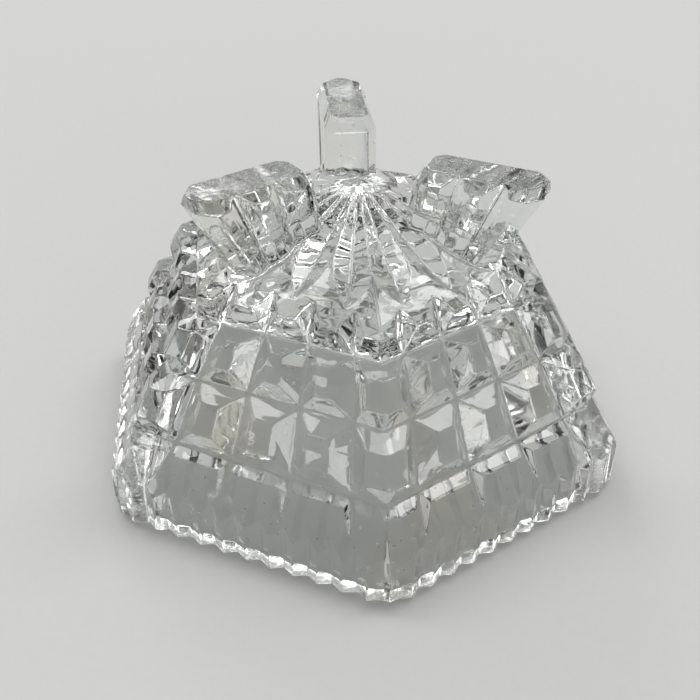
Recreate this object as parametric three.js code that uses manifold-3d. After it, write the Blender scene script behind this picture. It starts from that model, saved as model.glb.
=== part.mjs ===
// An open salt dish of pressed glass: a six-sided bowl with a block-cut pattern,
// a ribbed band round its rim, a star under its base and three block feet.
// It lies upside down on its rim, feet up, with the origin at the centre of the
// rim plane. Millimetres, +Z up. The glass is divided into its moulded features.
import * as THREE from 'three';
import { mergeVertices } from 'three/addons/utils/BufferGeometryUtils.js';
import Module from 'manifold-3d';

const wasm = await Module();
wasm.setup();

// Rim band
const cornerRadius = 35; // from the axis to the blunt tip of a rim corner
const cornerCut = 0.91; // length that the blunt tip is short of a sharp one
const ribTopHeight = 5.3; // rim plane to the upper ends of the rib edges
const bandHeight = 6.9; // rim plane to the top of the band, above the ends of the V cuts
const ribsPerSide = 11;
const ribDepth = 0.8;
const rimBevel = 0.6; // bevel along the bottom of the ribs

// Wall: each step goes up by rise and in by inset, measured on the block faces
const stripStep = { rise: 5.4, inset: 3.25 }; // the plain strip, from the rib edges up
const lowerRowLip = { rise: 1.0, inset: -0.4 }; // the blocks stand out past the strip
const lowerRow = { rise: 7.14, inset: 3.56 };
const upperRow = { rise: 6.29, inset: 3.75 };
const shoulderRow = { rise: 3.28, inset: 3.79 };

// Cut grooves between the blocks
const grooveDepth = 2.0;
const grooveHalfWidth = 2.2; // at the surface
const innerColumn = 0.243; // groove places across a side, as a share of half its width
const outerColumn = 0.7285;
const lowerTipHeight = 6.85; // rim plane to the points where the upright grooves run out

// Base dome and its star
const crownRise = 4.3;
const crownRadius = 7.0;
const poleRise = 1.9;
const petalCount = 18;
const petalDepth = 1.15;
const petalHalfWidth = 1.9;
const petalStart = 2.4; // distance of a petal's inner point from the axis
const petalStations = [-0.12, 0.3, 0.7, 1.08]; // places along a petal, as shares of its length
const petalProfile = [-0.35, 0.8, 1, -0.35]; // depth there, as a share of petalDepth

// Hollow of the bowl
const wallThickness = 4.4; // from the block faces to the inside
const rimThickness = 4.6; // from the rib edges to the inside, at the rim
const baseThickness = 8.7; // on the axis
const hollowRounding = { rim: 0.1, lower: 0.15, middle: 0.25, upper: 0.55 }; // 1 is round
const vaultShare = { a: 0.455, rise: 0.69 }; // where the hollow turns in over the axis

// Feet
const footCount = 3;
const footTopHeight = 39.0; // rim plane to the soles
const footThickness = 6.4;
// The ends of a foot, measured outwards from the shoulder of the wall
const footInnerRoot = -10.75; // inner end, level with the shoulder
const footInnerSole = -9.05; // inner end at the sole, before its bevel
const footOuterRoot = 0.55;
const footOuterSole = 6.35;
const footInnerBevel = 1.0; // upright corners of the inner end
const footOuterBevel = 1.7; // upright corners of the outer end
const soleBevelHeight = 1.4;
const soleBevelWidth = 0.8;
const footGrooves = 2; // on each side of a foot
const footGrooveDepth = 0.9;
const footGrooveHalfWidth = 1.4;

const seam = 0.3; // clearance between neighbouring features
const pinRadius = 0.3; // the smallest ring, in place of a point on the axis
const overshoot = 6; // how far a cutting solid reaches past what it cuts

const sides = 6;
const sector = (2 * Math.PI) / sides;
const ringSteps = 36;

// Heights and apothems that follow from the sizes above
const rimApothem = (cornerRadius + cornerCut) * Math.cos(sector / 2); // to the rib edges
const ribTop = { a: rimApothem, z: ribTopHeight };
const stripTop = stepFrom(ribTop, stripStep);
const stripFoot = stripPoint(0); // the plain strip carried down to the rim plane
const lowerBreak = stepFrom(stripTop, lowerRowLip);
const middleBreak = stepFrom(lowerBreak, lowerRow);
const upperBreak = stepFrom(middleBreak, upperRow);
const shoulder = stepFrom(upperBreak, shoulderRow);
const crown = { a: crownRadius, z: shoulder.z + crownRise };
const pole = { a: 0, z: crown.z + poleRise };

function stepFrom(point, step) {
  return { a: point.a - step.inset, z: point.z + step.rise };
}

// The point of the plain strip at this height
function stripPoint(z) {
  return { a: ribTop.a + ((ribTop.z - z) * stripStep.inset) / stripStep.rise, z };
}

function polar(radius, angle, z) {
  return new THREE.Vector3(radius * Math.cos(angle), radius * Math.sin(angle), z);
}

// Outward direction of the profile between two of its points
function profileNormal(from, to) {
  return new THREE.Vector2(to.z - from.z, from.a - to.a).normalize();
}

// A point of the profile moved inwards at right angles to the wall there
function inwards(before, point, after, distance) {
  const normal = profileNormal(before, point).add(profileNormal(point, after)).normalize();
  return { a: point.a - normal.x * distance, z: point.z - normal.y * distance };
}

// Distance from the axis of a six-sided ring with this apothem; rounding 1 makes it a circle
function ringRadius(apothem, angle, rounding) {
  const fromFace = (angle % sector) - sector / 2;
  return apothem / Math.cos(fromFace) ** (1 - rounding);
}

function ring(point, rounding = 0) {
  return Array.from({ length: ringSteps }, (_, i) => {
    const angle = (i / ringSteps) * 2 * Math.PI;
    const turned = angle + sector / 2;
    return polar(ringRadius(point.a, angle, rounding), turned, point.z);
  });
}

// The faces that close a flat ring of points, whichever way it looks
function capFaces(points) {
  const normal = new THREE.Vector3();
  points.forEach((p, i) => {
    normal.add(new THREE.Vector3().crossVectors(p, points[(i + 1) % points.length]));
  });
  const flatten = new THREE.Quaternion();
  flatten.setFromUnitVectors(normal.normalize(), new THREE.Vector3(0, 0, 1));
  const outline = points.map((p) => {
    const flat = p.clone().applyQuaternion(flatten);
    return new THREE.Vector2(flat.x, flat.y);
  });
  return THREE.ShapeUtils.triangulateShape(outline, []);
}

// A closed solid through rings with the same number of points
function loft(rings, closedPath = false) {
  const count = rings[0].length;
  const positions = rings.flat().flatMap((p) => [p.x, p.y, p.z]);
  const index = [];
  const last = closedPath ? rings.length : rings.length - 1;
  for (let r = 0; r < last; r += 1) {
    const next = ((r + 1) % rings.length) * count;
    for (let i = 0; i < count; i += 1) {
      const j = (i + 1) % count;
      index.push(r * count + i, r * count + j, next + j, r * count + i, next + j, next + i);
    }
  }
  if (!closedPath) {
    const top = (rings.length - 1) * count;
    for (const [a, b, c] of capFaces(rings[0])) {
      index.push(a, c, b);
    }
    for (const [a, b, c] of capFaces(rings.at(-1))) {
      index.push(top + a, top + b, top + c);
    }
  }
  const geometry = new THREE.BufferGeometry();
  geometry.setAttribute('position', new THREE.Float32BufferAttribute(positions, 3));
  geometry.setIndex(index);
  return toSolid(geometry);
}

function signedVolume(positions, index) {
  const corner = (i) => new THREE.Vector3().fromArray(positions, index[i] * 3);
  let volume = 0;
  for (let i = 0; i < index.length; i += 3) {
    volume += corner(i).dot(corner(i + 1).cross(corner(i + 2))) / 6;
  }
  return volume;
}

function toSolid(source) {
  const geometry = source.clone();
  geometry.deleteAttribute('normal');
  geometry.deleteAttribute('uv');
  const merged = mergeVertices(geometry, 1e-5);
  const vertProperties = new Float32Array(merged.attributes.position.array);
  const triVerts = new Uint32Array(merged.index.array);
  if (signedVolume(vertProperties, triVerts) < 0) {
    for (let i = 0; i < triVerts.length; i += 3) {
      [triVerts[i], triVerts[i + 1]] = [triVerts[i + 1], triVerts[i]];
    }
  }
  return new wasm.Manifold(new wasm.Mesh({ numProp: 3, vertProperties, triVerts }));
}

function toGeometry(solid) {
  const mesh = solid.getMesh();
  const geometry = new THREE.BufferGeometry();
  geometry.setAttribute('position', new THREE.BufferAttribute(mesh.vertProperties, 3));
  geometry.setIndex(new THREE.BufferAttribute(mesh.triVerts, 1));
  geometry.computeVertexNormals();
  return geometry;
}

// The wall and dome as plain faces, from the rim plane up to the pole
function plainShell(raise = 0) {
  const profile = [stripFoot, stripTop, lowerBreak, middleBreak, upperBreak, shoulder];
  const rings = profile.map((point) => ring({ a: point.a, z: point.z + raise }));
  rings.push(ring({ a: crown.a, z: crown.z + raise }, 1));
  rings.push(ring({ a: pinRadius, z: pole.z + raise }, 1));
  return loft(rings);
}

// Depth lines of the grooves, under each break of the wall
const lowerValley = inwards(ribTop, lowerBreak, middleBreak, grooveDepth);
const middleValley = inwards(lowerBreak, middleBreak, upperBreak, grooveDepth);
const upperValley = inwards(middleBreak, upperBreak, shoulder, grooveDepth);

// A level groove that runs round all six sides
function levelGroove(valley, before, point, after) {
  const normal = profileNormal(before, point).add(profileNormal(point, after)).normalize();
  const along = new THREE.Vector2(-normal.y, normal.x);
  const reach = overshoot / grooveDepth;
  const mouth = [1, -1].map((way) => ({
    a: valley.a + normal.x * overshoot + along.x * way * grooveHalfWidth * reach,
    z: valley.z + normal.y * overshoot + along.y * way * grooveHalfWidth * reach,
  }));
  const section = [valley, mouth[0], mouth[1]];
  const rings = Array.from({ length: sides }, (_, i) => {
    const corner = (i + 0.5) * sector;
    return section.map((p) => polar(p.a / Math.cos(sector / 2), corner, p.z));
  });
  return loft(rings, true);
}

// An upright groove at a share of half a side's width; it leaves the wall at both ends
function uprightGroove(side, share) {
  const lowerTip = stripPoint(lowerTipHeight);
  const path = [lowerTip, lowerValley, middleValley, upperValley, shoulder];
  const first = extend(lowerValley, lowerTip);
  const last = extend(upperValley, shoulder);
  const line = [first, ...path.slice(1, -1), last];
  const facing = side * sector;
  const across = new THREE.Vector3(-Math.sin(facing), Math.cos(facing), 0);
  const rings = line.map((point, i) => {
    const before = line[Math.max(i - 1, 0)];
    const after = line[Math.min(i + 1, line.length - 1)];
    const normal = profileNormal(before, after);
    const centre = polar(point.a, facing, point.z);
    centre.addScaledVector(across, point.a * Math.tan(sector / 2) * share);
    const out = polar(normal.x, facing, normal.y).multiplyScalar(overshoot);
    const width = (overshoot * grooveHalfWidth) / grooveDepth;
    return [
      centre,
      centre.clone().add(out).addScaledVector(across, width),
      centre.clone().add(out).addScaledVector(across, -width),
    ];
  });
  return loft(rings);
}

// The line from one profile point through another, carried on past it
function extend(from, through) {
  const length = Math.hypot(through.a - from.a, through.z - from.z);
  const scale = 1 + overshoot / 2 / length;
  return { a: from.a + (through.a - from.a) * scale, z: from.z + (through.z - from.z) * scale };
}

// Height of the plain dome at a distance from the axis
function domeHeight(radius) {
  const inner = radius < crown.a;
  const [from, to] = inner ? [pole, crown] : [crown, shoulder];
  return from.z + ((to.z - from.z) * (radius - from.a)) / (to.a - from.a);
}

// One leaf of the star: a hollow whose depth line dips into the dome and comes out again
function petal(index) {
  const angle = ((index + 0.5) / petalCount) * 2 * Math.PI + Math.PI / petalCount;
  const across = new THREE.Vector3(-Math.sin(angle), Math.cos(angle), 0);
  const length = shoulder.a - petalStart;
  const rings = petalStations.map((station, i) => {
    const radius = petalStart + length * station;
    const centre = polar(radius, angle, domeHeight(radius) - petalDepth * petalProfile[i]);
    const width = (petalHalfWidth / petalDepth) * overshoot;
    const up = new THREE.Vector3(0, 0, overshoot);
    return [
      centre,
      centre.clone().add(up).addScaledVector(across, width),
      centre.clone().add(up).addScaledVector(across, -width),
    ];
  });
  return loft(rings);
}

// The hollow that the salt lies in, open at the rim
function hollow() {
  const mouthBelow = { a: rimApothem - rimThickness, z: -overshoot };
  const mouth = { a: rimApothem - rimThickness, z: 0 };
  const lower = inwards(ribTop, lowerBreak, middleBreak, wallThickness);
  const middle = inwards(lowerBreak, middleBreak, upperBreak, wallThickness);
  const upper = inwards(middleBreak, upperBreak, shoulder, wallThickness);
  const ceiling = pole.z - baseThickness;
  const vault = {
    a: upper.a * vaultShare.a,
    z: upper.z + (ceiling - upper.z) * vaultShare.rise,
  };
  return loft([
    ring(mouthBelow, hollowRounding.rim),
    ring(mouth, hollowRounding.rim),
    ring(lower, hollowRounding.lower),
    ring(middle, hollowRounding.middle),
    ring(upper, hollowRounding.upper),
    ring(vault, 1),
    ring({ a: pinRadius, z: ceiling }, 1),
  ]);
}

// Plan outline of the ribbed band, drawn inwards by an offset
function bandOutline(offset, z) {
  const points = [];
  const sideLength = 2 * rimApothem * Math.tan(sector / 2);
  const pitch = sideLength / (ribsPerSide + 1);
  for (let side = 0; side < sides; side += 1) {
    const facing = side * sector;
    for (let step = 0; step < 2 * (ribsPerSide + 1); step += 1) {
      const along = -sideLength / 2 + (step * pitch) / 2;
      const depth = step % 2 === 1 ? ribDepth : 0;
      const point = polar(rimApothem - depth - offset, facing, z);
      point.x += -Math.sin(facing) * along;
      point.y += Math.cos(facing) * along;
      const isCorner = step === 0;
      points.push(isCorner ? polar(cornerRadius - offset, facing - sector / 2, z) : point);
    }
  }
  return points;
}

// An upright solid round the dish that gives the rim its ribs
function ribbedSleeve() {
  return loft([
    bandOutline(rimBevel, 0),
    bandOutline(0, rimBevel),
    bandOutline(0, pole.z + overshoot),
  ]);
}

// Inner and outer end of a foot that lies along +X
function footEnds(height) {
  const share = (height - shoulder.z) / (footTopHeight - shoulder.z);
  const innerReach = footInnerRoot + (footInnerSole - footInnerRoot) * share;
  const outerReach = footOuterRoot + (footOuterSole - footOuterRoot) * share;
  return [shoulder.a + innerReach, shoulder.a + outerReach];
}

function footOutline(height, inset) {
  const [innerEnd, outerEnd] = footEnds(height);
  const inner = innerEnd + inset;
  const outer = outerEnd - inset;
  const half = footThickness / 2 - inset;
  const side = [
    [inner, half - footInnerBevel],
    [inner + footInnerBevel, half],
    [outer - footOuterBevel, half],
    [outer, half - footOuterBevel],
  ];
  const otherSide = side.map(([x, y]) => [x, -y]).reverse();
  return [...otherSide, ...side].map(([x, y]) => new THREE.Vector3(x, y, height));
}

// Section of the V groove after the block with this number, on the side with larger y
function footGroove(number, height) {
  const [inner, outer] = footEnds(height);
  const middle = inner + ((outer - inner) * number) / (footGrooves + 1);
  const bottom = footThickness / 2 - footGrooveDepth;
  const open = (footGrooveHalfWidth * (footGrooveDepth + overshoot)) / footGrooveDepth;
  return [
    new THREE.Vector3(middle, bottom, height),
    new THREE.Vector3(middle + open, bottom + footGrooveDepth + overshoot, height),
    new THREE.Vector3(middle - open, bottom + footGrooveDepth + overshoot, height),
  ];
}

function foot(angle) {
  const root = shoulder.z - overshoot / 2;
  let block = loft([
    footOutline(root, 0),
    footOutline(footTopHeight - soleBevelHeight, 0),
    footOutline(footTopHeight, soleBevelWidth),
  ]);
  for (let i = 1; i <= footGrooves; i += 1) {
    const ends = [root - overshoot, footTopHeight + overshoot];
    const groove = loft(ends.map((height) => footGroove(i, height)));
    block = block.subtract(groove).subtract(groove.mirror([0, 1, 0]));
  }
  const turn = (angle * 180) / Math.PI;
  return block.rotate([0, 0, turn]).subtract(plainShell(seam));
}

// A wedge round one side of the hexagon, with half a seam left free along both cuts
function sideWedge(side, bottom, top) {
  const facing = side * sector;
  const tip = seam / 2 / Math.sin(sector / 2);
  const far = 2 * cornerRadius;
  return loft([bottom, top].map((z) => [
    polar(tip, facing, z),
    polar(tip, facing, z).add(polar(far, facing - sector / 2, 0)),
    polar(tip, facing, z).add(polar(far, facing + sector / 2, 0)),
  ]));
}

function glassShell() {
  let shell = plainShell().intersect(ribbedSleeve()).subtract(hollow());
  const cuts = [
    levelGroove(lowerValley, ribTop, lowerBreak, middleBreak),
    levelGroove(middleValley, lowerBreak, middleBreak, upperBreak),
    levelGroove(upperValley, middleBreak, upperBreak, shoulder),
  ];
  for (let side = 0; side < sides; side += 1) {
    for (const share of [-outerColumn, -innerColumn, innerColumn, outerColumn]) {
      cuts.push(uprightGroove(side, share));
    }
  }
  for (let i = 0; i < petalCount; i += 1) {
    cuts.push(petal(i));
  }
  for (const cut of cuts) {
    shell = shell.subtract(cut);
  }
  return shell;
}

function glass(roughness) {
  return new THREE.MeshStandardMaterial({ color: 0xdfe5e2, roughness, metalness: 0 });
}

const dish = new THREE.Group();
const sideNames = ['right', 'rear_right', 'rear_left', 'left', 'front_left', 'front_right'];
const polished = glass(0.08);
const satin = glass(0.2);

function addPiece(name, solid, material) {
  const mesh = new THREE.Mesh(toGeometry(solid), material);
  mesh.name = name;
  dish.add(mesh);
}

const shell = glassShell();
const baseCore = loft([
  ring({ a: shoulder.a - seam / 2, z: 0 }),
  ring({ a: shoulder.a - seam / 2, z: pole.z + overshoot }),
]);
const wallCore = loft([
  ring({ a: shoulder.a + seam / 2, z: 0 }),
  ring({ a: shoulder.a + seam / 2, z: pole.z + overshoot }),
]);

sideNames.forEach((name, side) => {
  const bandPart = sideWedge(side, -overshoot, bandHeight - seam / 2);
  addPiece(`rim_band_${name}`, shell.intersect(bandPart), satin);
  const wallPart = sideWedge(side, bandHeight + seam / 2, pole.z);
  addPiece(`wall_${name}`, shell.subtract(wallCore).intersect(wallPart), polished);
});
addPiece('base_star', shell.intersect(baseCore), polished);
const footNames = ['foot_rear', 'foot_left', 'foot_right'];
for (let i = 0; i < footCount; i += 1) {
  const angle = Math.PI / 2 + (i * 2 * Math.PI) / footCount;
  addPiece(footNames[i], foot(angle), polished);
}

export default dish;
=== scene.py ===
import math

import bmesh
import bpy
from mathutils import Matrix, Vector


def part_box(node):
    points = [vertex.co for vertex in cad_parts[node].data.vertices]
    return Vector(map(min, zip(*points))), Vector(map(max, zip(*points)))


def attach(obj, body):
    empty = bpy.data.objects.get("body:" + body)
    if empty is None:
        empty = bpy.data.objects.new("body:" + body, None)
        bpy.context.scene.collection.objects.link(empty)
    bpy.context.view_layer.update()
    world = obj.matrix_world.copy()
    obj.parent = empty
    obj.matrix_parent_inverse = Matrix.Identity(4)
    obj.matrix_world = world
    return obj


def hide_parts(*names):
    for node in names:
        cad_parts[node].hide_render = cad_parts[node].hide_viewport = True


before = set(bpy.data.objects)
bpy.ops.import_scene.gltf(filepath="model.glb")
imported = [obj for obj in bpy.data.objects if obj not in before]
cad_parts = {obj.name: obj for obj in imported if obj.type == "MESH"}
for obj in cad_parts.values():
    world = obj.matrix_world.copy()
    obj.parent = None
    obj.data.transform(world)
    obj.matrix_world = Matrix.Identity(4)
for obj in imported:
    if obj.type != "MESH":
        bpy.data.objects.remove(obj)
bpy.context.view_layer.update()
print("stage: frame loaded")

# Sizes in this script are millimetres, and meshes go to Blender's metres at the end.
# The dish lies upside down on its rim. Its six sides face 0, 60, 120 ... degrees.
metre = 0.001
sides = 6
sector = 2 * math.pi / sides
overshoot = 6  # how far a cutting solid reaches past what it cuts


# One face of a node's box in the frame
def frameSize(node, corner, axis):
    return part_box(node)[corner][axis] / metre


# Camera, at the photograph's place
viewpoint = {
    "place": (-13.97, -116.19, 90.23),
    "turn": (55.714, -0.514, -6.140),  # degrees about X, Y and Z
    "lens": 55.56,
    "sensorWidth": 36,
    "nearest": 5,
    "farthest": 20000,
}


def makeCamera():
    lens = bpy.data.cameras.new("camera")
    lens.lens = viewpoint["lens"]
    lens.sensor_width = viewpoint["sensorWidth"]
    lens.clip_start = viewpoint["nearest"] * metre
    lens.clip_end = viewpoint["farthest"] * metre
    camera = bpy.data.objects.new("camera", lens)
    camera.location = Vector(viewpoint["place"]) * metre
    camera.rotation_euler = [math.radians(angle) for angle in viewpoint["turn"]]
    bpy.context.scene.collection.objects.link(camera)
    bpy.context.scene.camera = camera


makeCamera()
print("stage: camera")


# Mesh tools
def polar(radius, angle, height):
    return Vector((radius * math.cos(angle), radius * math.sin(angle), height))


def addShape(name, shape):
    bmesh.ops.recalc_face_normals(shape, faces=shape.faces)
    mesh = bpy.data.meshes.new(name)
    shape.to_mesh(mesh)
    shape.free()
    piece = bpy.data.objects.new(name, mesh)
    bpy.context.scene.collection.objects.link(piece)
    return piece


# A closed solid through rings that hold the same number of points. Where its path is
# closed, the last ring joins the first.
def loft(name, rings, closedPath=False):
    shape = bmesh.new()
    loops = [[shape.verts.new(point) for point in points] for points in rings]
    following = loops[1:] + loops[:1] if closedPath else loops[1:]
    for lower, upper in zip(loops, following):
        for i in range(len(lower)):
            j = (i + 1) % len(lower)
            shape.faces.new((lower[i], lower[j], upper[j], upper[i]))
    if not closedPath:
        shape.faces.new(reversed(loops[0]))
        shape.faces.new(loops[-1])
    return addShape(name, shape)


# Puts the outcome of the piece's modifiers in place of its mesh
def applyModifiers(piece):
    graph = bpy.context.evaluated_depsgraph_get()
    result = bpy.data.meshes.new_from_object(piece.evaluated_get(graph))
    old = piece.data
    piece.modifiers.clear()
    piece.data = result
    bpy.data.meshes.remove(old)


# Adds the tool's shape to the body, takes it away or keeps what both share, and removes
# the tool
def combine(body, tool, operation):
    step = body.modifiers.new("combine", "BOOLEAN")
    step.operation = operation
    step.solver = "MANIFOLD"
    step.object = tool
    applyModifiers(body)
    bpy.data.objects.remove(tool)


# Angles of a ring's points, in degrees from a corner and closer together near it
sectorDegrees = 360 / sides
nearCorner = [0, 0.35, 0.7, 1.2, 2.0, 3.5]
alongFace = [5 + 2.5 * i for i in range(21)]
ringAngles = [
    side * sector - sector / 2 + math.radians(step)
    for side in range(sides)
    for step in nearCorner + alongFace + [sectorDegrees - step for step in nearCorner[:0:-1]]
]


# Distance from the axis of a six-sided ring with rounded corners. A rounding as large as
# the apothem makes it a circle.
def ringRadius(apothem, angle, rounding):
    fromFace = (angle + sector / 2) % sector - sector / 2
    toCorner = sector / 2 - abs(fromFace)
    centre = (apothem - rounding) / math.cos(sector / 2)
    reach = centre + rounding * math.cos(sector / 2)
    if toCorner >= math.atan2(rounding * math.sin(sector / 2), reach):
        return apothem / math.cos(fromFace)
    across = centre * math.sin(toCorner)
    return centre * math.cos(toCorner) + math.sqrt(rounding**2 - across**2)


def ring(apothem, height, rounding):
    return [polar(ringRadius(apothem, a, rounding), a, height) for a in ringAngles]


# Rim band: upright ribs, cut back by the plain strip of the wall above them
band = {
    "ribEdgeApothem": frameSize("rim_band_right", 1, 0),
    "cornerRadius": 35.0,
    "ribTopHeight": 5.3,
    "ribsPerSide": 11,
    "ribDepth": 0.8,
    "bottomBevel": 0.6,
    "sleeveHeight": 60,  # well above the dish
}


def bandOutline(offset, height):
    points = []
    sideLength = 2 * band["ribEdgeApothem"] * math.tan(sector / 2)
    halfPitch = sideLength / (band["ribsPerSide"] + 1) / 2
    for side in range(sides):
        facing = side * sector
        across = polar(1, facing + math.pi / 2, 0)
        for step in range(2 * (band["ribsPerSide"] + 1)):
            depth = band["ribDepth"] if step % 2 else 0
            point = polar(band["ribEdgeApothem"] - depth - offset, facing, height)
            point += across * (step * halfPitch - sideLength / 2)
            if step == 0:
                point = polar(band["cornerRadius"] - offset, facing - sector / 2, height)
            points.append(point)
    return points


# An upright solid round the dish that gives the rim its ribs
def ribbedSleeve():
    bevel = band["bottomBevel"]
    return loft(
        "ribbed_sleeve",
        [bandOutline(bevel, 0), bandOutline(0, bevel), bandOutline(0, band["sleeveHeight"])],
    )


# Wall and dome. A step is the rise and the inset from one break of the wall to the next.
wall = {
    "stripStep": (5.4, 3.25),
    "lipStep": (1.0, -0.4),
    "lowerStep": (7.14, 3.56),
    "upperStep": (6.29, 3.75),
    "shoulderStep": (3.28, 3.79),
    "shoulderBulge": (19.6, 27.4),  # the shoulder blocks roll over towards this point
    "shoulderEnd": 15.5,  # where the roll meets the dome
    "rollRings": 7,
    "cornerRounding": 0.5,
    "grooveDepth": 2.0,
    "grooveHalfWidth": 2.2,
    "columns": (-0.7285, -0.243, 0.243, 0.7285),  # shares of half a side
    "lowerTipHeight": 6.85,  # where the points of the upright grooves end
}
dome = {
    "crownApothem": 7.0,
    "crownRise": 4.3,
    "poleRise": 1.9,
    "bend": 1.337,  # how the dome's height falls off with the radius
    "poleApothem": 0.05,  # last ring of a surface that closes at the axis
    "rings": 22,
}


def stepFrom(point, step):
    return (point[0] - step[1], point[1] + step[0])


# The point of the plain strip at this height
def stripPoint(height):
    rise, inset = wall["stripStep"]
    return (ribTop[0] + (ribTop[1] - height) * inset / rise, height)


ribTop = (band["ribEdgeApothem"], band["ribTopHeight"])
stripTop = stepFrom(ribTop, wall["stripStep"])
lowerBreak = stepFrom(stripTop, wall["lipStep"])
middleBreak = stepFrom(lowerBreak, wall["lowerStep"])
upperBreak = stepFrom(middleBreak, wall["upperStep"])
shoulder = stepFrom(upperBreak, wall["shoulderStep"])
crown = (dome["crownApothem"], shoulder[1] + dome["crownRise"])
poleHeight = crown[1] + dome["poleRise"]

# The three bends of the wall that carry a level groove, each with the breaks beside it
bends = [
    (ribTop, lowerBreak, middleBreak),
    (lowerBreak, middleBreak, upperBreak),
    (middleBreak, upperBreak, shoulder),
]


def domeHeight(radius):
    return poleHeight - dome["poleRise"] * (radius / crown[0]) ** dome["bend"]


# Outward direction across a stretch of the profile, as (apothem, height)
def profileNormal(before, after):
    return Vector((after[1] - before[1], before[0] - after[0])).normalized()


def breakNormal(before, point, after):
    return (profileNormal(before, point) + profileNormal(point, after)).normalized()


def inwards(before, point, after, distance):
    return Vector(point) - breakNormal(before, point, after) * distance


def shoulderRoll(share):
    start, bulge = Vector(upperBreak), Vector(wall["shoulderBulge"])
    end = Vector((wall["shoulderEnd"], domeHeight(wall["shoulderEnd"])))
    return start * (1 - share) ** 2 + bulge * 2 * share * (1 - share) + end * share**2


def makeShell():
    corner = wall["cornerRounding"]
    profile = [stripPoint(0), stripTop, lowerBreak, middleBreak]
    profile += [shoulderRoll(i / wall["rollRings"]) for i in range(wall["rollRings"])]
    rings = [ring(a, z, corner) for a, z in profile]
    for i in range(dome["rings"]):
        fromPole = dome["poleApothem"] * i / dome["rings"]
        apothem = wall["shoulderEnd"] * (1 - i / dome["rings"]) + fromPole
        towardsCrown = (wall["shoulderEnd"] - apothem) / (wall["shoulderEnd"] - crown[0])
        rounding = corner + (apothem - corner) * min(1, towardsCrown)
        rings.append(ring(apothem, domeHeight(apothem), min(rounding, apothem)))
    return loft("shell", rings)


valleys = [inwards(*bend, wall["grooveDepth"]) for bend in bends]


# A level groove that runs round all six sides
def levelGroove(bend, valley):
    normal = breakNormal(*bend)
    along = Vector((-normal[1], normal[0]))
    spread = wall["grooveHalfWidth"] / wall["grooveDepth"] * overshoot
    section = [valley] + [valley + normal * overshoot + along * way * spread for way in (1, -1)]
    corners = [(side + 0.5) * sector for side in range(sides)]
    rings = [[polar(a / math.cos(sector / 2), corner, z) for a, z in section] for corner in corners]
    return loft("level_groove", rings, closedPath=True)


# A point past the second one, on the line through both
def extend(start, through):
    start, through = Vector(start), Vector(through)
    return through + (through - start).normalized() * overshoot / 2


# An upright groove, which leaves the wall in a point at both ends
def uprightGroove(side, column):
    lowerTip = stripPoint(wall["lowerTipHeight"])
    line = [extend(valleys[0], lowerTip), *valleys, extend(valleys[-1], shoulder)]
    facing = side * sector
    across = polar(1, facing + math.pi / 2, 0)
    spread = wall["grooveHalfWidth"] / wall["grooveDepth"] * overshoot
    rings = []
    for i, point in enumerate(line):
        before, after = line[max(i - 1, 0)], line[min(i + 1, len(line) - 1)]
        normal = profileNormal(before, after)
        bottom = polar(point[0], facing, point[1])
        bottom += across * point[0] * math.tan(sector / 2) * column
        out = polar(normal[0], facing, normal[1]) * overshoot
        rings.append([bottom, bottom + out + across * spread, bottom + out - across * spread])
    return loft("upright_groove", rings)


# Star under the base. Places and depths of a leaf are shares of its length and depth, and
# depths of a ray are shares of its depth.
star = {
    "leaves": 18,
    "leafDepth": 1.15,
    "leafHalfWidth": 1.9,
    "leafInnerEnd": 2.4,
    "leafOuterEnd": 17.15,
    "leafPlaces": (-0.12, 0.0, 0.15, 0.3, 0.42, 0.55, 0.7, 0.8, 0.9, 1.0, 1.1),
    "leafDepths": (-0.5, 0.1, 0.55, 0.83, 0.95, 1.03, 1.0, 0.86, 0.55, 0.05, -0.7),
    "rays": 36,
    "rayDepth": 0.3,
    "rayHalfWidth": 0.28,
    "rayRadii": (0.1, 2.76, 5.52),
    "rayDepths": (1, 1, -1),
}


# A V cut that runs outwards on the dome, with its depth under the dome at each radius
def radialCut(angle, radii, depths, slope):
    across = polar(1, angle + math.pi / 2, 0) * (slope * overshoot)
    up = Vector((0, 0, overshoot))
    rings = []
    for radius, depth in zip(radii, depths):
        bottom = polar(radius, angle, domeHeight(radius) - depth)
        rings.append([bottom, bottom + up + across, bottom + up - across])
    return loft("radial_cut", rings)


def leafCut(index):
    halfLeaf = math.pi / star["leaves"]
    angle = (index + 0.5) / star["leaves"] * 2 * math.pi + halfLeaf
    length = star["leafOuterEnd"] - star["leafInnerEnd"]
    radii = [star["leafInnerEnd"] + length * share for share in star["leafPlaces"]]
    depths = [star["leafDepth"] * share for share in star["leafDepths"]]
    return radialCut(angle, radii, depths, star["leafHalfWidth"] / star["leafDepth"])


def rayCut(index):
    angle = index / star["rays"] * 2 * math.pi
    depths = [star["rayDepth"] * share for share in star["rayDepths"]]
    return radialCut(angle, star["rayRadii"], depths, star["rayHalfWidth"] / star["rayDepth"])


# Feet
foot = {
    "count": 3,
    "topHeight": frameSize("foot_rear", 1, 2),
    "thickness": 6.4,
    "innerRoot": 6.4,  # the ends at the root are level with the shoulder
    "outerRoot": 17.7,
    "innerSole": 8.1,  # the ends at the sole are those before its bevel
    "outerSole": 23.5,
    "innerBevel": 1.0,  # upright corners
    "outerBevel": 1.7,
    "soleBevelHeight": 1.4,
    "soleBevelWidth": 0.8,
    "grooves": 2,  # on each long side
    "grooveDepth": 0.9,
    "grooveHalfWidth": 1.4,
}


# Inner and outer end of a foot, measured from the axis
def footEnds(height):
    share = (height - shoulder[1]) / (foot["topHeight"] - shoulder[1])
    inner = foot["innerRoot"] + (foot["innerSole"] - foot["innerRoot"]) * share
    outer = foot["outerRoot"] + (foot["outerSole"] - foot["outerRoot"]) * share
    return inner, outer


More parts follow.
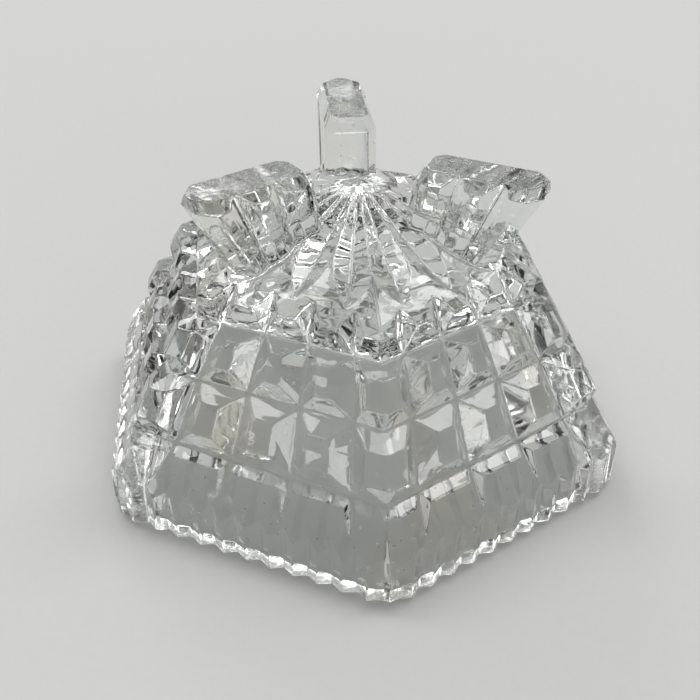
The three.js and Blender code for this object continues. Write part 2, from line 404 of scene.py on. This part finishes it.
# Turns an outline of a foot that points along X to this angle and lifts it
def placeOutline(outline, angle, height):
    out, across = polar(1, angle, 0), polar(1, angle + math.pi / 2, 0)
    return [out * x + across * y + Vector((0, 0, height)) for x, y in outline]


def footOutline(angle, height, inset):
    innerEnd, outerEnd = footEnds(height)
    inner, outer = innerEnd + inset, outerEnd - inset
    half = foot["thickness"] / 2 - inset
    side = [
        (inner, half - foot["innerBevel"]),
        (inner + foot["innerBevel"], half),
        (outer - foot["outerBevel"], half),
        (outer, half - foot["outerBevel"]),
    ]
    return placeOutline([(x, -y) for x, y in reversed(side)] + side, angle, height)


# The V groove after the block with this number; direction is 1 or -1 for the side it is on
def footGroove(angle, number, direction):
    depth = foot["grooveDepth"]
    bottom = foot["thickness"] / 2 - depth
    top = bottom + depth + overshoot
    opening = foot["grooveHalfWidth"] * (depth + overshoot) / depth * direction
    rings = []
    for height in (shoulder[1] - overshoot * 2, foot["topHeight"] + overshoot):
        inner, outer = footEnds(height)
        middle = inner + (outer - inner) * number / (foot["grooves"] + 1)
        section = [
            (middle, bottom * direction),
            (middle + opening, top * direction),
            (middle - opening, top * direction),
        ]
        rings.append(placeOutline(section, angle, height))
    return loft("foot_groove", rings)


def makeFoot(index):
    angle = math.pi / 2 + index * 2 * math.pi / foot["count"]
    block = loft(
        "foot",
        [
            footOutline(angle, shoulder[1] - overshoot / 2, 0),
            footOutline(angle, foot["topHeight"] - foot["soleBevelHeight"], 0),
            footOutline(angle, foot["topHeight"], foot["soleBevelWidth"]),
        ],
    )
    for number in range(1, foot["grooves"] + 1):
        for direction in (1, -1):
            combine(block, footGroove(angle, number, direction), "DIFFERENCE")
    return block


# Hollow of the bowl
hollow = {
    "mouthApothem": 26.5,
    "wallThickness": 4.4,
    "baseThickness": 8.7,
    "vault": (0.455, 0.69),  # share of the apothem, and of the rise above the upper bend
    "roundings": (0.12, 0.15, 0.25, 0.55, 1, 1),  # shares of the apothem, from mouth to ceiling
    "steps": 5,  # rings from one point of the profile to the next
}


# A smooth curve through the points, as (apothem, height, rounding)
def smoothThrough(points, steps):
    padded = [points[0] * 2 - points[1], *points, points[-1] * 2 - points[-2]]
    curve = []
    for a, b, c, d in zip(padded, padded[1:], padded[2:], padded[3:]):
        for i in range(steps):
            t = i / steps
            curve.append(
                b
                + (c - a) * 0.5 * t
                + (a * 2 - b * 5 + c * 4 - d) * 0.5 * t * t
                + (b * 3 - a - c * 3 + d) * 0.5 * t**3
            )
    curve.append(points[-1])
    return curve


def makeHollow():
    lower, middle, upper = (inwards(*bend, hollow["wallThickness"]) for bend in bends)
    ceiling = poleHeight - hollow["baseThickness"]
    vaultApothem = upper[0] * hollow["vault"][0]
    vaultHeight = upper[1] + (ceiling - upper[1]) * hollow["vault"][1]
    mouth, vault = (hollow["mouthApothem"], 0), (vaultApothem, vaultHeight)
    line = [mouth, lower, middle, upper, vault, (dome["poleApothem"], ceiling)]
    points = [Vector((a, z, rounding)) for (a, z), rounding in zip(line, hollow["roundings"])]
    below = points[0] - Vector((0, overshoot, 0))
    profile = [below] + smoothThrough(points, hollow["steps"])
    rings = [ring(a, z, min(share, 1) * a) for a, z, share in profile]
    return loft("hollow", rings)


# The glass body, cut and joined to one closed surface
def makeGlass():
    glass = makeShell()
    glass.name = "pressed_glass_dish"
    combine(glass, ribbedSleeve(), "INTERSECT")
    for bend, valley in zip(bends, valleys):
        combine(glass, levelGroove(bend, valley), "DIFFERENCE")
    for side in range(sides):
        for column in wall["columns"]:
            combine(glass, uprightGroove(side, column), "DIFFERENCE")
    print("stage: wall grooves cut,", len(glass.data.polygons), "faces")
    for i in range(star["leaves"]):
        combine(glass, leafCut(i), "DIFFERENCE")
    for i in range(star["rays"]):
        combine(glass, rayCut(i), "DIFFERENCE")
    print("stage: star cut,", len(glass.data.polygons), "faces")
    for i in range(foot["count"]):
        combine(glass, makeFoot(i), "UNION")
    combine(glass, makeHollow(), "DIFFERENCE")
    print("stage: body joined,", len(glass.data.polygons), "faces")
    return glass


# Softened edges, as fire-polished glass has
finish = {
    "voxel": 0.15,
    "smoothing": 3,  # passes
    "smoothingFactor": 0.5,
    "faces": 150000,
}


def polish(glass):
    remesh = glass.modifiers.new("remesh", "REMESH")
    remesh.mode = "VOXEL"
    remesh.voxel_size = finish["voxel"]
    smooth = glass.modifiers.new("smooth", "SMOOTH")
    smooth.factor = finish["smoothingFactor"]
    smooth.iterations = finish["smoothing"]
    applyModifiers(glass)
    print("stage: remeshed,", len(glass.data.polygons), "faces")
    triangles = 2 * len(glass.data.polygons)
    thin = glass.modifiers.new("thin", "DECIMATE")
    thin.ratio = min(1, finish["faces"] / triangles)
    applyModifiers(glass)
    print("stage: thinned,", len(glass.data.polygons), "faces")


def toMetres(piece):
    for vertex in piece.data.vertices:
        vertex.co *= metre
    piece.data.update()


dish = makeGlass()
polish(dish)
toMetres(dish)
for polygon in dish.data.polygons:
    polygon.use_smooth = True


# Material of the glass. Scales are counted per metre, and a pair is where a change starts
# and where it ends.
glassLook = {
    "tint": (0.87, 0.89, 0.88, 1),
    "warmTint": (0.89, 0.87, 0.80, 1),  # faint warm patches, as in old pressed glass
    "patchScale": 95,
    "patchEdge": (0.5, 0.72),
    "indexOfRefraction": 1.52,
    "polish": (0.012, 0.05),  # roughness of the best and the dullest places
    "polishScale": 260,
    "polishEdge": (0.4, 0.75),
    "wear": 0.3,  # roughness on the soles and along the rim, where the dish has stood
    "soleWearDepth": 0.4,
    "rimWearDepth": 0.5,
    "scratchScale": 1400,
    "scratchEdge": (0.42, 0.62),
    "scratchStrength": (0.35, 1),
    "dustScale": 330,
    "dustSize": 0.09,
    "dustRoughness": 0.7,
    "waveScale": 140,
    "waveDepth": 0.05,
    "pitScale": 620,
    "pitSize": 0.1,
    "pitDepth": 0.04,
    "dotCore": 0.6,  # share of a dust or pit dot inside its soft edge
}


def addNode(tree, kind, values=None, **settings):
    node = tree.nodes.new(kind)
    for name, value in settings.items():
        setattr(node, name, value)
    for name, value in (values or {}).items():
        node.inputs[name].default_value = value
    return node


# A value that goes from one number to another while the input goes from low to high
def addRamp(tree, source, low, high, start, end):
    ramp = addNode(tree, "ShaderNodeMapRange", interpolation_type="SMOOTHSTEP")
    for place, value in enumerate((low, high, start, end), start=1):
        ramp.inputs[place].default_value = value
    tree.links.new(source, ramp.inputs[0])
    return ramp.outputs[0]


def addMath(tree, operation, first, second):
    step = addNode(tree, "ShaderNodeMath", operation=operation)
    for socket, value in zip(step.inputs, (first, second)):
        if isinstance(value, (int, float)):
            socket.default_value = value
        else:
            tree.links.new(value, socket)
    return step.outputs[0]


def addNoise(tree, place, scale, detail=2):
    noise = addNode(tree, "ShaderNodeTexNoise", {"Scale": scale, "Detail": detail})
    tree.links.new(place, noise.inputs["Vector"])
    return noise.outputs["Fac"]


# Round dots: 1 inside a dot and 0 between the dots
def addDots(tree, place, scale, size):
    cells = addNode(tree, "ShaderNodeTexVoronoi", {"Scale": scale})
    tree.links.new(place, cells.inputs["Vector"])
    core = size * glassLook["dotCore"]
    return addRamp(tree, cells.outputs["Distance"], core, size, 1, 0)


# 1 on the soles and along the rim, broken up by fine scratches
def addWear(tree, place):
    split = addNode(tree, "ShaderNodeSeparateXYZ")
    tree.links.new(place, split.inputs[0])
    height = split.outputs["Z"]
    soleHeight = foot["topHeight"] * metre
    soleDepth, rimDepth = glassLook["soleWearDepth"] * metre, glassLook["rimWearDepth"] * metre
    sole = addRamp(tree, height, soleHeight - soleDepth, soleHeight, 0, 1)
    rim = addRamp(tree, height, 0, rimDepth, 1, 0)
    noise = addNoise(tree, place, glassLook["scratchScale"], 5)
    scratches = addRamp(tree, noise, *glassLook["scratchEdge"], *glassLook["scratchStrength"])
    return addMath(tree, "MULTIPLY", addMath(tree, "MAXIMUM", sole, rim), scratches)


def makeGlassMaterial():
    material = bpy.data.materials.new("clear pressed glass")
    material.use_nodes = True
    tree = material.node_tree
    shader = tree.nodes["Principled BSDF"]
    shader.inputs["IOR"].default_value = glassLook["indexOfRefraction"]
    shader.inputs["Transmission Weight"].default_value = 1
    place = addNode(tree, "ShaderNodeTexCoord").outputs["Object"]

    tint = addNode(tree, "ShaderNodeMix", data_type="RGBA")
    tint.inputs["A"].default_value = glassLook["tint"]
    tint.inputs["B"].default_value = glassLook["warmTint"]
    patchNoise = addNoise(tree, place, glassLook["patchScale"])
    patches = addRamp(tree, patchNoise, *glassLook["patchEdge"], 0, 1)
    tree.links.new(patches, tint.inputs["Factor"])
    tree.links.new(tint.outputs["Result"], shader.inputs["Base Color"])

    dust = addDots(tree, place, glassLook["dustScale"], glassLook["dustSize"])
    dustRoughness = addMath(tree, "MULTIPLY", dust, glassLook["dustRoughness"])
    wear = addMath(tree, "MULTIPLY", addWear(tree, place), glassLook["wear"])
    polishNoise = addNoise(tree, place, glassLook["polishScale"], 4)
    polished = addRamp(tree, polishNoise, *glassLook["polishEdge"], *glassLook["polish"])
    dull = addMath(tree, "MAXIMUM", dustRoughness, wear)
    roughness = addMath(tree, "MAXIMUM", dull, polished)
    tree.links.new(roughness, shader.inputs["Roughness"])

    waves = addNode(tree, "ShaderNodeBump", {"Distance": glassLook["waveDepth"] * metre})
    tree.links.new(addNoise(tree, place, glassLook["waveScale"], 1), waves.inputs["Height"])
    pitDepth = glassLook["pitDepth"] * metre
    pits = addNode(tree, "ShaderNodeBump", {"Distance": pitDepth}, invert=True)
    dots = addDots(tree, place, glassLook["pitScale"], glassLook["pitSize"])
    tree.links.new(dots, pits.inputs["Height"])
    tree.links.new(waves.outputs["Normal"], pits.inputs["Normal"])
    tree.links.new(pits.outputs["Normal"], shader.inputs["Normal"])
    return material


dish.data.materials.clear()
dish.data.materials.append(makeGlassMaterial())
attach(dish, "root")
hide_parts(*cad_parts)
print("stage: glass material")


# Floor and light, in metres and watts
studio = {
    "floorColour": (0.66, 0.66, 0.65, 1),
    "floorRadius": 2.5,
    "floorHeight": -0.0001,  # just clear of the rim
    "floorRoughness": 0.9,
    "floorShine": 0.1,
    "grainScale": 900,
    "grainEdge": (0.3, 0.7),
    "grain": (0.985, 1),  # shares of the floor's colour
    "dimColour": (0.26, 0.26, 0.265, 1),
    "brightColour": (0.6, 0.6, 0.595, 1),
    "brightSide": (0.05, 0.62, 0.78),  # the surround is brightest behind and above the dish
    "brightEdge": (-0.35, 0.9),
    "target": (0, 0, 0.015),  # all lamps face this point of the dish
}
# Name, place, power, width and height of each lamp
lamps = [
    ("overhead lamp", (0.1, 0.2, 1.6), 2, 0.5, 0.5),
    ("rear left lamp", (-0.5, 0.42, 1.13), 3, 0.4, 0.4),
    ("rear right lamp", (0.59, 0.27, 1.13), 3, 0.4, 0.4),
    ("back lamp", (-0.3, 1.3, 0.9), 3, 0.6, 0.25),
    ("front lamp", (0.1, -1.3, 0.19), 8, 1.6, 0.28),
]


def makeFloor():
    shape = bmesh.new()
    bmesh.ops.create_circle(shape, cap_ends=True, segments=96, radius=studio["floorRadius"])
    floor = addShape("floor", shape)
    floor.location.z = studio["floorHeight"]
    material = bpy.data.materials.new("pale floor")
    material.use_nodes = True
    tree = material.node_tree
    shader = tree.nodes["Principled BSDF"]
    shader.inputs["Roughness"].default_value = studio["floorRoughness"]
    shader.inputs["Specular IOR Level"].default_value = studio["floorShine"]
    place = addNode(tree, "ShaderNodeTexCoord").outputs["Object"]
    noise = addNoise(tree, place, studio["grainScale"], 4)
    grain = addRamp(tree, noise, *studio["grainEdge"], *studio["grain"])
    colour = addNode(tree, "ShaderNodeVectorMath", operation="SCALE")
    colour.inputs[0].default_value = studio["floorColour"][:3]
    tree.links.new(grain, colour.inputs["Scale"])
    tree.links.new(colour.outputs[0], shader.inputs["Base Color"])
    floor.data.materials.append(material)


def addLamp(name, place, power, width, height):
    light = bpy.data.lights.new(name, "AREA")
    light.shape = "RECTANGLE"
    light.size, light.size_y = width, height
    light.energy = power
    lamp = bpy.data.objects.new(name, light)
    lamp.location = place
    aim = Vector(studio["target"]) - Vector(place)
    lamp.rotation_euler = aim.to_track_quat("-Z", "Y").to_euler()
    bpy.context.scene.collection.objects.link(lamp)


# A soft pale surround
def makeWorld():
    world = bpy.data.worlds.new("studio")
    world.use_nodes = True
    tree = world.node_tree
    direction = addNode(tree, "ShaderNodeTexCoord").outputs["Generated"]
    facing = addNode(tree, "ShaderNodeVectorMath", operation="DOT_PRODUCT")
    facing.inputs[1].default_value = studio["brightSide"]
    tree.links.new(direction, facing.inputs[0])
    surround = addNode(tree, "ShaderNodeMix", data_type="RGBA")
    surround.inputs["A"].default_value = studio["dimColour"]
    surround.inputs["B"].default_value = studio["brightColour"]
    brightness = addRamp(tree, facing.outputs["Value"], *studio["brightEdge"], 0, 1)
    tree.links.new(brightness, surround.inputs["Factor"])
    tree.links.new(surround.outputs["Result"], tree.nodes["Background"].inputs["Color"])
    bpy.context.scene.world = world


makeFloor()
makeWorld()
for lamp in lamps:
    addLamp(*lamp)
bpy.context.scene.view_settings.view_transform = "Standard"
print("stage: floor and light")
